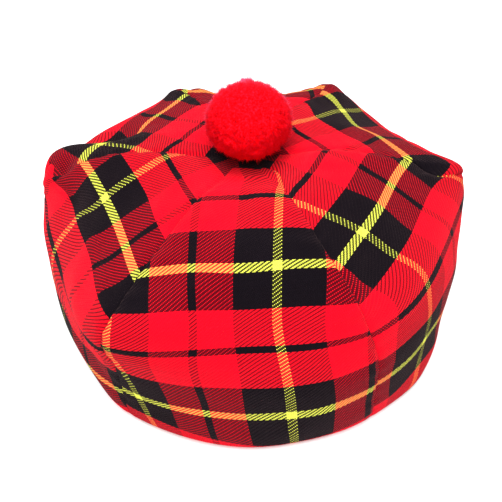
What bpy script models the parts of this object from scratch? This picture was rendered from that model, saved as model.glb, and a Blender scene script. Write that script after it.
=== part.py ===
"""Tam o'shanter: six tapered gores of checked wool round a headband, with a pompom on the crown.

Metres, +Z up, and -Y is the front. The hat stands on the plane z = 0 on its rim and its headband, and the
origin is the middle of its base. The crown has sagged a little, as soft cloth does.

The outer side of the gores is one surface. A point on it has an azimuth, in degrees anticlockwise from +X,
and a distance along the cloth, from the crown's centre over the rim and in under the hat to the headband.
"""

from collections import namedtuple

import bmesh
import bpy
import numpy as np

# Driving sizes.
CLOTH = 0.0020  # thickness of a gore with its seam allowances
GAP = 0.0003  # between pieces that are sewn to each other
CROWN_AXIS = (-0.0008, 0.0003)  # where the crown's centre stands, measured from the rim's centre
BASE_CENTRE = (-0.0007, 0.0005)  # the middle of the hat's base, measured from the rim's centre

BAND_RADIUS = 0.0920  # inside the headband: a 58 cm head
BAND_THICKNESS = 0.0025  # two layers of cloth
BAND_HEIGHT = 0.0360
BAND_EDGE = 0.0006  # bevel on the band's folded edges
BAND_SIDES = 48

POMPOM_RADIUS = 0.0260
POMPOM_CENTRE = (0.0023, 0.0, 0.1246)
LOCKS = 110
LOCK_DEPTH = 0.0032  # from a lock's tip to the groove round it
POMPOM_SUBDIVISIONS = 4

COLUMNS = 14  # faces across a gore
RED = (0.80, 0.012, 0.030)
POMPOM_RED = (0.85, 0.010, 0.040)

# Cross-sections, from the crown's centre to the headband. radius and height belong to a gore's middle.
# flatness says how straight the section runs from seam to seam: 1 is a hexagon's side, 0 is round.
# rows is the number of faces from this section to the next.
Section = namedtuple("Section", "name along radius height flatness rows")
SECTIONS = (
    Section("centre hole", 0.0040, 0.0040, 0.1012, 1.00, 1),
    Section("pompom seat", 0.0180, 0.0180, 0.1012, 1.00, 2),
    Section("inner line", 0.0508, 0.0453, 0.1052, 1.00, 4),
    Section("crown line", 0.0958, 0.0889, 0.0956, 1.00, 5),
    Section("brow", 0.1408, 0.1285, 0.0728, 0.24, 3),
    Section("crease", 0.1646, 0.1355, 0.0523, 0.07, 2),
    Section("wall", 0.1858, 0.1382, 0.0311, 0.02, 2),
    Section("foot of the wall", 0.2074, 0.1409, 0.0090, 0.00, 1),
    Section("rim", 0.2150, 0.1398, 0.0020, 0.00, 1),
    Section("flat, outside", 0.2210, 0.1345, 0.0000, 0.00, 1),
    Section("flat, inside", 0.2290, 0.1255, 0.0000, 0.00, 2),
    Section("under", 0.2450, 0.1110, 0.0085, 0.00, 2),
    Section("band seam", 0.2740, 0.0948, 0.0310, 0.00, 0),
)
FLAT = (0.2210, 0.2290)  # this stretch lies flat on what the hat stands on
UNDERSIDE = (0.2290, 0.2650)  # the sag fades out along this stretch

# How the sagged cloth departs from the sections at the six seams and the six middles between them: reach is
# outwards, lift is upwards, and turn is the drift round the hat in degrees. The crown is the upper part,
# the brow is where the cloth bends over, and the wall is below it.
Sag = namedtuple("Sag", "azimuth crown_reach crown_lift crown_turn brow_reach brow_lift wall_reach wall_turn")
SAGS = (
    Sag(0, -0.0010, 0.0010, -2.0, 0.0075, 0.0035, 0.0005, 0.0),
    Sag(30, -0.0005, 0.0010, 0.0, -0.0020, 0.0000, -0.0005, 0.0),
    Sag(60, 0.0035, -0.0025, -3.3, 0.0040, 0.0025, 0.0000, 0.0),
    Sag(90, -0.0020, -0.0015, 0.0, -0.0015, -0.0020, 0.0000, 0.0),
    Sag(120, -0.0030, 0.0000, -4.1, -0.0010, -0.0005, 0.0000, 0.0),
    Sag(150, -0.0010, -0.0005, -1.8, 0.0025, 0.0010, 0.0000, 0.0),
    Sag(180, 0.0000, 0.0035, -0.7, 0.0010, 0.0020, 0.0020, -0.8),
    Sag(210, -0.0010, -0.0005, 0.0, -0.0050, 0.0015, -0.0045, 5.5),
    Sag(240, 0.0025, -0.0020, -0.7, 0.0105, 0.0040, 0.0015, -1.2),
    Sag(270, -0.0025, -0.0005, -0.5, -0.0120, -0.0065, -0.0010, 1.9),
    Sag(300, -0.0010, 0.0000, -2.7, -0.0045, -0.0075, 0.0035, -1.0),
    Sag(330, -0.0005, 0.0000, -1.0, 0.0010, 0.0000, 0.0020, -0.7),
)
CROWN_SPAN = (0.0855, 0.0297)  # middle and half-length of the stretch that the crown's sag acts on
BROW_SPAN = (0.1305, 0.0252)
WALL_START = (0.1575, 0.0063)  # where the wall's reach sets in, and how gently
TURN_SPAN = (0.1260, 0.1845)  # the wall's drift grows along this stretch

# Local folds and dents: each is a smooth bump, half_turn degrees by half_length, moved outwards and upwards.
Fold = namedtuple("Fold", "name azimuth along half_turn half_length outwards upwards")
FOLDS = (
    Fold("left ear", 172, 0.1143, 9.0, 0.0144, 0.0128, 0.0050),
    Fold("hollow in front of the left ear", 190, 0.1170, 9.0, 0.0144, -0.0010, -0.0046),
    Fold("tuck under the left ear", 180, 0.1224, 4.5, 0.0144, 0.0037, -0.0061),
    Fold("right ear", 0, 0.1152, 6.0, 0.0144, 0.0080, 0.0005),
    Fold("back left dip", 155, 0.1062, 9.0, 0.0144, -0.0030, -0.0079),
    Fold("back right dip", 28, 0.1035, 12.0, 0.0180, -0.0040, -0.0004),
    Fold("back left knob", 120, 0.1098, 6.0, 0.0126, 0.0019, 0.0030),
    Fold("second back left knob", 111, 0.1080, 5.0, 0.0108, 0.0010, 0.0034),
    Fold("back right knob", 57, 0.1080, 8.0, 0.0126, 0.0030, 0.0042),
    Fold("notch beside the knob", 66, 0.1152, 4.0, 0.0090, -0.0010, -0.0020),
    Fold("back dip", 82, 0.1120, 11.0, 0.0180, -0.0010, -0.0060),
)

GORES = (
    ("gore_back_right", 30),
    ("gore_back", 90),
    ("gore_back_left", 150),
    ("gore_front_left", 210),
    ("gore_front", 270),
    ("gore_front_right", 330),
)
HALF_GORE = 30.0  # degrees from a gore's middle to its seam


def clear_scene():
    """Removes every object."""
    for thing in list(bpy.data.objects):
        bpy.data.objects.remove(thing, do_unlink=True)


def principled(name, colour, roughness):
    """A plain Principled material."""
    material = bpy.data.materials.new(name)
    material.use_nodes = True
    shader = material.node_tree.nodes["Principled BSDF"]
    shader.inputs["Base Color"].default_value = (*colour, 1.0)
    shader.inputs["Roughness"].default_value = roughness
    shader.inputs["Metallic"].default_value = 0.0
    material.diffuse_color = (*colour, 1.0)
    return material


def add_object(name, mesh, material, smooth_under=40.0):
    """Puts a mesh in the scene as one named piece, shaded smooth but for its sharp edges."""
    mesh.shade_smooth()
    mesh.set_sharp_from_angle(angle=np.radians(smooth_under))
    mesh.materials.append(material)
    piece = bpy.data.objects.new(name, mesh)
    bpy.context.scene.collection.objects.link(piece)
    return piece


def column(rows, field):
    """One column of a table, as an array."""
    return np.array([getattr(row, field) for row in rows], dtype=float)


def smooth_curve(knots, values, x):
    """A smooth curve through the points (knots, values), read at x: cubic pieces with shared slopes."""
    steps = np.diff(knots)
    slopes = np.diff(values) / steps
    tangents = np.empty_like(values)
    tangents[0] = slopes[0]
    tangents[-1] = slopes[-1]
    tangents[1:-1] = (slopes[:-1] * steps[1:] + slopes[1:] * steps[:-1]) / (steps[:-1] + steps[1:])
    piece = np.clip(np.searchsorted(knots, x, side="right") - 1, 0, len(steps) - 1)
    step = steps[piece]
    t = (x - knots[piece]) / step
    start = (1 + 2 * t) * (1 - t) ** 2 * values[piece] + t * (1 - t) ** 2 * step * tangents[piece]
    end = t * t * (3 - 2 * t) * values[piece + 1] + t * t * (t - 1) * step * tangents[piece + 1]
    return start + end


def smooth_step(x, low, high):
    """0 below low, 1 above high, and an S between them."""
    t = np.clip((x - low) / (high - low), 0.0, 1.0)
    return t * t * (3 - 2 * t)


def bump(distance, half_width):
    """A bell of height 1."""
    return np.exp(-((distance / half_width) ** 2))


def around(field, azimuth):
    """A column of SAGS as a smooth closed curve, read at each azimuth."""
    values = column(SAGS, field)
    azimuths = column(SAGS, "azimuth")
    knots = np.concatenate([azimuths - 360, azimuths, azimuths + 360])
    return smooth_curve(knots, np.tile(values, 3), np.mod(azimuth, 360.0))


def along_hat(field, along):
    """A column of SECTIONS as a smooth curve, read at each distance along the cloth."""
    return smooth_curve(column(SECTIONS, "along"), column(SECTIONS, field), along)


def outer_surface(azimuth, along):
    """Points of the gores' outer side. azimuth and along are arrays of one shape."""
    from_middle = np.radians(np.mod(azimuth, 2 * HALF_GORE) - HALF_GORE)
    straightness = 1 / np.cos(from_middle) - 1
    crown = bump(along - CROWN_SPAN[0], CROWN_SPAN[1])
    brow = bump(along - BROW_SPAN[0], BROW_SPAN[1])
    underside = 1 - smooth_step(along, *UNDERSIDE)
    wall = underside / (1 + np.exp(-(along - WALL_START[0]) / WALL_START[1]))
    turning = underside * smooth_step(along, *TURN_SPAN)

    radius = along_hat("radius", along) * (1 + along_hat("flatness", along) * straightness)
    radius += crown * around("crown_reach", azimuth)
    radius += brow * around("brow_reach", azimuth)
    radius += wall * around("wall_reach", azimuth)
    height = along_hat("height", along)
    height += crown * around("crown_lift", azimuth)
    height += brow * around("brow_lift", azimuth)
    for fold in FOLDS:
        turn = np.mod(azimuth - fold.azimuth + 180, 360.0) - 180
        amount = bump(turn, fold.half_turn) * bump(along - fold.along, fold.half_length)
        radius += amount * fold.outwards
        height += amount * fold.upwards
    flat = (along >= FLAT[0]) & (along <= FLAT[1])
    height = np.where(flat, 0.0, np.maximum(height, 0.0))

    drift = crown * around("crown_turn", azimuth) + turning * around("wall_turn", azimuth)
    direction = np.radians(azimuth + drift)
    lean = 1 - smooth_step(along, *TURN_SPAN)
    x = radius * np.cos(direction) + lean * CROWN_AXIS[0] - BASE_CENTRE[0]
    y = radius * np.sin(direction) + lean * CROWN_AXIS[1] - BASE_CENTRE[1]
    return np.stack([x, y, height], axis=-1)


def outward_normals(azimuth, along):
    """The direction out of the cloth, averaged over a short step each way, so that a seam splits its crease."""
    turn = 1.0
    step = 0.001
    across = outer_surface(azimuth + turn, along) - outer_surface(azimuth - turn, along)
    before = np.maximum(along - step, SECTIONS[0].along)
    down = outer_surface(azimuth, along + step) - outer_surface(azimuth, before)
    normals = np.cross(down, across)
    return normals / np.linalg.norm(normals, axis=-1, keepdims=True)


def along_rows():
    """The rows of faces down a gore: each section's stretch in equal steps."""
    rows = [SECTIONS[0].along]
    for here, after in zip(SECTIONS[:-1], SECTIONS[1:]):
        rows.extend(np.linspace(here.along, after.along, here.rows + 1)[1:])
    return np.array(rows)


def gore_mesh(name, middle):
    """A closed wall of cloth from seam to seam: its outer side, its inner side and the four edges."""
    rows = along_rows()
    spread = np.sin(np.linspace(-np.pi / 2, np.pi / 2, COLUMNS + 1))  # closer together at the seams
    seam_inset = np.degrees(GAP / 2 / along_hat("radius", rows))
    azimuth = middle + spread[None, :] * (HALF_GORE - seam_inset)[:, None]
    along = np.repeat(rows[:, None], COLUMNS + 1, axis=1)
    outer = outer_surface(azimuth, along)
    inner = outer - CLOTH * outward_normals(azimuth, along)

    count = len(rows) * (COLUMNS + 1)
    grid = np.arange(count).reshape(len(rows), COLUMNS + 1)
    faces = []
    for sheet, turned in ((grid, False), (grid + count, True)):
        corners = (sheet[:-1, :-1], sheet[1:, :-1], sheet[1:, 1:], sheet[:-1, 1:])
        corners = corners[::-1] if turned else corners
        faces.extend(np.stack(corners, axis=-1).reshape(-1, 4).tolist())
    border = [*grid[0, :-1], *grid[:-1, -1], *grid[-1, :0:-1], *grid[:0:-1, 0]]
    for here, after in zip(border, border[1:] + border[:1]):
        faces.append([int(here), int(after), int(after) + count, int(here) + count])

    mesh = bpy.data.meshes.new(name)
    mesh.from_pydata(np.concatenate([outer, inner]).reshape(-1, 3).tolist(), [], faces)
    mesh.validate()
    return mesh


def add_gore(name, middle):
    """One gore, from its tip at the crown's centre to the headband."""
    return add_object(name, gore_mesh(name, middle), principled(name + "_wool", RED, 0.85))


def add_headband():
    """The band round the head opening: a rectangle with bevelled corners, spun round the axis."""
    inside = BAND_RADIUS
    outside = BAND_RADIUS + BAND_THICKNESS
    low = BAND_EDGE
    high = BAND_HEIGHT - BAND_EDGE
    profile = (
        (inside + BAND_EDGE, 0.0),
        (outside - BAND_EDGE, 0.0),
        (outside, low),
        (outside, high),
        (outside - BAND_EDGE, BAND_HEIGHT),
        (inside + BAND_EDGE, BAND_HEIGHT),
        (inside, high),
        (inside, low),
    )
    shape = bmesh.new()
    points = [shape.verts.new((radius, 0.0, height)) for radius, height in profile]
    edges = [shape.edges.new((a, b)) for a, b in zip(points, points[1:] + points[:1])]
    bmesh.ops.spin(
        shape,
        geom=points + edges,
        cent=(0.0, 0.0, 0.0),
        axis=(0.0, 0.0, 1.0),
        angle=2 * np.pi,
        steps=BAND_SIDES,
        use_merge=True,
    )
    bmesh.ops.remove_doubles(shape, verts=shape.verts, dist=1e-6)
    bmesh.ops.translate(shape, verts=shape.verts, vec=(-BASE_CENTRE[0], -BASE_CENTRE[1], 0.0))
    bmesh.ops.recalc_face_normals(shape, faces=shape.faces)
    mesh = bpy.data.meshes.new("headband")
    shape.to_mesh(mesh)
    shape.free()
    return add_object("headband", mesh, principled("headband_wool", RED, 0.85))


def lock_directions():
    """The locks' directions, spread evenly over a ball along a spiral."""
    turn = np.pi * (3 - np.sqrt(5))
    index = np.arange(LOCKS)
    height = 1 - 2 * (index + 0.5) / LOCKS
    ring = np.sqrt(1 - height**2)
    return np.stack([ring * np.cos(turn * index), ring * np.sin(turn * index), height], axis=-1)


def add_pompom():
    """Locks of clipped pile fused to a round core, pressed flat where they lie on the crown."""
    shape = bmesh.new()
    bmesh.ops.create_icosphere(shape, subdivisions=POMPOM_SUBDIVISIONS, radius=1.0)
    mesh = bpy.data.meshes.new("pompom")
    shape.to_mesh(mesh)
    shape.free()

    directions = np.array([vertex.co for vertex in mesh.vertices])
    directions /= np.linalg.norm(directions, axis=1, keepdims=True)
    nearness = (directions @ lock_directions().T).max(axis=1)
    lock_reach = np.sqrt(4 * np.pi / LOCKS) / 2  # half the angle between neighbouring locks
    from_tip = np.clip(np.arccos(np.clip(nearness, -1, 1)) / lock_reach, 0.0, 1.0)
    radius = POMPOM_RADIUS - LOCK_DEPTH * from_tip**1.5
    points = np.array(POMPOM_CENTRE) + directions * radius[:, None]
    points[:, :2] -= BASE_CENTRE
    points[:, 2] = np.maximum(points[:, 2], SECTIONS[1].height + GAP)
    mesh.vertices.foreach_set("co", points.ravel())
    mesh.update()
    return add_object("pompom", mesh, principled("pompom_pile", POMPOM_RED, 0.95), smooth_under=180.0)


def main():
    clear_scene()
    for name, middle in GORES:
        add_gore(name, middle)
    add_headband()
    add_pompom()


main()
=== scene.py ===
"""A tam o'shanter of red, black and yellow checked wool, resting on a pale table.

Six tapered gores run from the crown's centre over the rim and in under the hat to a headband, and a pompom
is sewn to the crown. Metres, +Z up, and -Y is the front. The outer side of the gores is one surface. A point
on it has an azimuth, in degrees anticlockwise from +X, and a distance along the cloth from the crown's
centre.
"""

import logging
import math
from dataclasses import dataclass, field
from enum import Enum

import bpy
import numpy as np
from mathutils import Matrix, Vector


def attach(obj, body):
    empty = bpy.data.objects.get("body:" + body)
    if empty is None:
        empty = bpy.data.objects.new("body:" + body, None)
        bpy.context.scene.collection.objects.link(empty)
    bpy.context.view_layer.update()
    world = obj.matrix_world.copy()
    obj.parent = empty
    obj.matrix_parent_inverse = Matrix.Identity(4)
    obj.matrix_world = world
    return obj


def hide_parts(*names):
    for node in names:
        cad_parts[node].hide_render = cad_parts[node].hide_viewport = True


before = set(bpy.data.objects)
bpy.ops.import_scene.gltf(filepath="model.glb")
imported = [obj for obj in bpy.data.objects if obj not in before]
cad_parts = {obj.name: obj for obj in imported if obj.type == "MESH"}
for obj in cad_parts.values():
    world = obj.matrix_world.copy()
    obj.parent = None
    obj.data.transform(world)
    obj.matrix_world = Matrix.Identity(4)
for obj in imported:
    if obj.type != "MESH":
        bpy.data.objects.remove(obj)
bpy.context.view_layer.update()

LOG = logging.getLogger("tam_o_shanter")
Socket = bpy.types.NodeSocket
Feed = Socket | float | tuple[float, ...]  # a node's input takes another node's output, or a constant

GORES = 6
HALF_GORE = 180 / GORES  # degrees from a gore's middle to its seam
SETT = 0.090  # the check repeats at this distance, both ways
CLOTH = 0.0016  # thickness of the wool


# ---- Curves and meshes ----


def smooth_curve(knots: np.ndarray, values: np.ndarray, x: np.ndarray) -> np.ndarray:
    """A smooth curve through the points (knots, values).

    Between two knots it is the cubic that has both values and both slopes. A knot's slope is the mean of the
    two chords beside it, each weighted by the other chord's length; at the ends it is the chord's own.

    Args:
        knots: rising positions.
        values: the value at each knot.
        x: where to read the curve.

    Returns:
        The curve's value at each x, in x's shape.
    """
    steps = np.diff(knots)
    slopes = np.diff(values) / steps
    tangents = np.empty_like(values)
    tangents[0] = slopes[0]
    tangents[-1] = slopes[-1]
    tangents[1:-1] = (slopes[:-1] * steps[1:] + slopes[1:] * steps[:-1]) / (steps[:-1] + steps[1:])
    piece = np.clip(np.searchsorted(knots, x, side="right") - 1, 0, len(steps) - 1)
    step = steps[piece]
    t = (x - knots[piece]) / step
    start = (1 + 2 * t) * (1 - t) ** 2 * values[piece] + t * (1 - t) ** 2 * step * tangents[piece]
    end = t * t * (3 - 2 * t) * values[piece + 1] + t * t * (t - 1) * step * tangents[piece + 1]
    return start + end


def knot_weights(knots: np.ndarray, x: np.ndarray) -> np.ndarray:
    """How much each knot's value counts in the smooth curve at each x, on a new last axis."""
    inside = np.clip(x, knots[0], knots[-1])
    return np.stack([smooth_curve(knots, values, inside) for values in np.eye(len(knots))], axis=-1)


def smooth_step(x: np.ndarray, low: float, high: float) -> np.ndarray:
    """0 below low, 1 above high, and the S-shaped cubic 3t^2 - 2t^3 between them."""
    t = np.clip((x - low) / (high - low), 0.0, 1.0)
    return t * t * (3 - 2 * t)


def bump(distance: np.ndarray, half_width: float) -> np.ndarray:
    """A bell of height 1: e to the minus the square of distance over half_width."""
    return np.exp(-((distance / half_width) ** 2))


def column(rows: tuple, name: str) -> np.ndarray:
    """One column of a table of dataclasses, as an array."""
    return np.array([getattr(row, name) for row in rows], dtype=float)


def unit(vectors: np.ndarray) -> np.ndarray:
    """Vectors scaled to length 1 along their last axis."""
    return vectors / np.linalg.norm(vectors, axis=-1, keepdims=True)


def quads(grid: np.ndarray) -> np.ndarray:
    """The faces between neighbours in a grid of point numbers, of shape (faces, 4)."""
    return np.stack([grid[:-1, :-1], grid[1:, :-1], grid[1:, 1:], grid[:-1, 1:]], axis=-1).reshape(-1, 4)


def mesh_of(
    name: str, points: np.ndarray, faces: np.ndarray, uv: np.ndarray | None = None
) -> bpy.types.Mesh:
    """A mesh of equal-sided faces, put in with foreach_set and shaded smooth.

    Args:
        name: the mesh's name.
        points: an array of shape (points, 3).
        faces: an array of shape (faces, corners) of point numbers, anticlockwise from outside.
        uv: the cloth coordinates of the points, of shape (points, 2), for a map named cloth.

    Returns:
        The mesh.
    """
    mesh = bpy.data.meshes.new(name)
    count, corners = faces.shape
    mesh.vertices.add(len(points))
    mesh.vertices.foreach_set("co", points.astype(np.float32).ravel())
    mesh.loops.add(count * corners)
    mesh.loops.foreach_set("vertex_index", faces.astype(np.int32).ravel())
    mesh.polygons.add(count)
    mesh.polygons.foreach_set("loop_start", np.arange(0, count * corners, corners, dtype=np.int32))
    mesh.polygons.foreach_set("loop_total", np.full(count, corners, dtype=np.int32))
    mesh.update(calc_edges=True)
    mesh.shade_smooth()
    if uv is not None:
        layer = mesh.uv_layers.new(name="cloth")
        layer.data.foreach_set("uv", uv[faces.ravel()].astype(np.float32).ravel())
    return mesh


def shell_mesh(name: str, outer: np.ndarray, inner: np.ndarray, uv: np.ndarray) -> bpy.types.Mesh:
    """A thin closed wall: an outer grid of points, an inner grid under it, and a strip round their edge.

    Args:
        name: the mesh's name.
        outer: points of shape (rows, columns, 3); rows run outwards and columns anticlockwise.
        inner: points of the same shape.
        uv: the cloth coordinates of both grids, of shape (rows, columns, 2).

    Returns:
        The mesh, with its map.
    """
    count = outer.shape[0] * outer.shape[1]
    grid = np.arange(count).reshape(outer.shape[:2])
    border = np.concatenate([grid[0, :-1], grid[:-1, -1], grid[-1, :0:-1], grid[:0:-1, 0]])
    after = np.roll(border, -1)
    strip = np.stack([border, after, after + count, border + count], axis=-1)
    faces = np.concatenate([quads(grid), quads(grid)[:, ::-1] + count, strip])
    points = np.concatenate([outer, inner]).reshape(-1, 3)
    return mesh_of(name, points, faces, np.concatenate([uv, uv]).reshape(-1, 2))


def set_attribute(mesh: bpy.types.Mesh, name: str, values: np.ndarray) -> None:
    """Gives each point of the mesh a number that its material can read by name."""
    attribute = mesh.attributes.new(name, "FLOAT", "POINT")
    attribute.data.foreach_set("value", values.astype(np.float32).ravel())


def add_object(name: str, data: bpy.types.ID) -> bpy.types.Object:
    """Puts a mesh, a lamp or a camera in the scene.

    Args:
        name: the object's name.
        data: what it shows.

    Returns:
        The object, at the origin.
    """
    added = bpy.data.objects.new(name, data)
    bpy.context.scene.collection.objects.link(added)
    return added


def add_piece(
    mesh: bpy.types.Mesh, material: bpy.types.Material, replaced: str
) -> bpy.types.Object:
    """Puts a mesh in the scene as one piece of the hat.

    Args:
        mesh: the piece's mesh, in place; the piece takes its name.
        material: its finish.
        replaced: the solid that it stands for.

    Returns:
        The piece, riding on the hat's one body.
    """
    mesh.materials.append(material)
    piece = add_object(mesh.name, mesh)
    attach(piece, "root")
    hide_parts(replaced)
    return piece


# ---- Finishes ----


@dataclass(frozen=True)
class Gloss:
    """How a surface takes the light, as constants on its shader's own sockets."""

    roughness: float
    specular: float
    sheen: float = 0.0
    sheen_roughness: float = 0.5
    sheen_tint: tuple[float, float, float] = (1.0, 1.0, 1.0)


class Graph:
    """Adds and joins the nodes of one material."""

    def __init__(self, name: str) -> None:
        """Starts a material that holds one Principled shader.

        Args:
            name: the material's name.
        """
        self.material = bpy.data.materials.new(name)
        self.material.use_nodes = True
        self.tree = self.material.node_tree
        self.shader = self.tree.nodes["Principled BSDF"]

    def fill(self, node: bpy.types.Node, feeds: dict[int | str, Feed]) -> None:
        """Joins a node's inputs to other nodes' outputs, or sets them to constants.

        Args:
            node: the node.
            feeds: what goes to each input, by its number or name.
        """
        for key, feed in feeds.items():
            if isinstance(feed, Socket):
                self.tree.links.new(feed, node.inputs[key])
            else:
                node.inputs[key].default_value = feed

    def add(
        self, kind: str, feeds: dict[int | str, Feed], output: int | str = 0, **settings: object
    ) -> Socket:
        """Adds a node.

        Args:
            kind: its type, without the word ShaderNode.
            feeds: what goes to each input, by its number or name.
            output: the number or name of the output that is read.
            settings: the node's own settings.

        Returns:
            The output.
        """
        node = self.tree.nodes.new(f"ShaderNode{kind}")
        for name, setting in settings.items():
            setattr(node, name, setting)
        self.fill(node, feeds)
        return node.outputs[output]

    def finish(self, colour: Feed, gloss: Gloss) -> bpy.types.Material:
        """Gives the shader its colour and its gloss.

        Args:
            colour: the base colour.
            gloss: the constants.

        Returns:
            The material.
        """
        feeds = {
            "Base Color": colour,
            "Roughness": gloss.roughness,
            "Specular IOR Level": gloss.specular,
            "Sheen Weight": gloss.sheen,
            "Sheen Roughness": gloss.sheen_roughness,
            "Sheen Tint": (*gloss.sheen_tint, 1.0),
        }
        self.fill(self.shader, feeds)
        return self.material

    def math(self, operation: str, *feeds: Feed) -> Socket:
        """The result of one Math node."""
        return self.add("Math", dict(enumerate(feeds)), operation=operation)

    def vary(self, feed: Socket, low: float, high: float) -> Socket:
        """A number from 0 to 1 stretched to run from low to high."""
        return self.math("MULTIPLY_ADD", feed, high - low, low)

    def ease(self, feed: Socket, low: float, high: float) -> Socket:
        """0 at low, 1 at high, and an S between them."""
        return self.add("MapRange", {0: feed, 1: low, 2: high}, interpolation_type="SMOOTHSTEP")

    def choose(self, factor: Socket, first: Socket, second: Socket) -> Socket:
        """The first number where the factor is 0, and the second where it is 1."""
        return self.add("Mix", {0: factor, 2: first, 3: second})

    def mix(self, factor: Feed, first: Feed, second: Feed, blend: str = "MIX") -> Socket:
        """A mix of two colours."""
        return self.add("Mix", {0: factor, 6: first, 7: second}, 2, data_type="RGBA", blend_type=blend)

    def multiply(self, first: Feed, second: Feed) -> Socket:
        """The product of two colours."""
        return self.mix(1.0, first, second, "MULTIPLY")

    def grey(self, feed: Feed) -> Socket:
        """A grey of a given brightness."""
        return self.add("CombineColor", {0: feed, 1: feed, 2: feed})

    def split(self, feed: Socket) -> tuple[Socket, ...]:
        """The three numbers of a colour or a vector."""
        return tuple(self.add("SeparateXYZ", {0: feed}).node.outputs)

    def noise(self, scale: float, detail: float) -> Socket:
        """Cloudy noise from 0 to 1 on the piece, with scale clouds to the metre."""
        place = self.add("TexCoord", {}, "Object")
        return self.add("TexNoise", {"Vector": place, "Scale": scale, "Detail": detail}, "Fac")

    def random(self, feed: Socket) -> Socket:
        """A different number from 0 to 1 for each value."""
        return self.add("TexWhiteNoise", {"W": feed}, "Value", noise_dimensions="1D")

    def attribute(self, name: str) -> Socket:
        """A number stored on the mesh's points."""
        return self.add("Attribute", {}, "Fac", attribute_name=name)

    def steps(self, feed: Socket, starts: list[float], colours: list[tuple]) -> Socket:
        """A colour that changes at once at each start.

        Args:
            feed: the number that picks the colour.
            starts: where each colour starts.
            colours: linear red, green and blue, or any three numbers.

        Returns:
            The colour.
        """
        picked = self.add("ValToRGB", {"Fac": feed}, "Color")
        ramp = picked.node.color_ramp
        ramp.interpolation = "CONSTANT"
        while len(ramp.elements) < len(starts):
            ramp.elements.new(0.5)
        for element, start, colour in zip(ramp.elements, starts, colours):
            element.position = start
            element.color = (*colour, 1.0)
        return picked


@dataclass(frozen=True)
class Spun:
    """One dye lot of yarn: its colour as linear red, green and blue, and how it lies in the cloth."""

    colour: tuple[float, float, float]
    width: float  # of the room that a yarn has; the yarns under it show beside it
    float_share: float  # of the face that it takes where it runs across the gore
    fluff: float  # how much of it shows through a yarn that lies on it
    stain: tuple[float, float, float] = (1.0, 1.0, 1.0)  # multiplies the colour of the yarns that cross it


class Yarn(Enum):
    """The yarns to choose from."""

    RED = Spun((0.95, 0.0085, 0.028), 1.0, 0.73, 0.13, (1.0, 0.62, 1.0))
    BLACK = Spun((0.0110, 0.0078, 0.0118), 1.0, 0.81, 0.10)
    YELLOW = Spun((0.93, 0.97, 0.140), 0.92, 0.58, 0.03)


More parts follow.
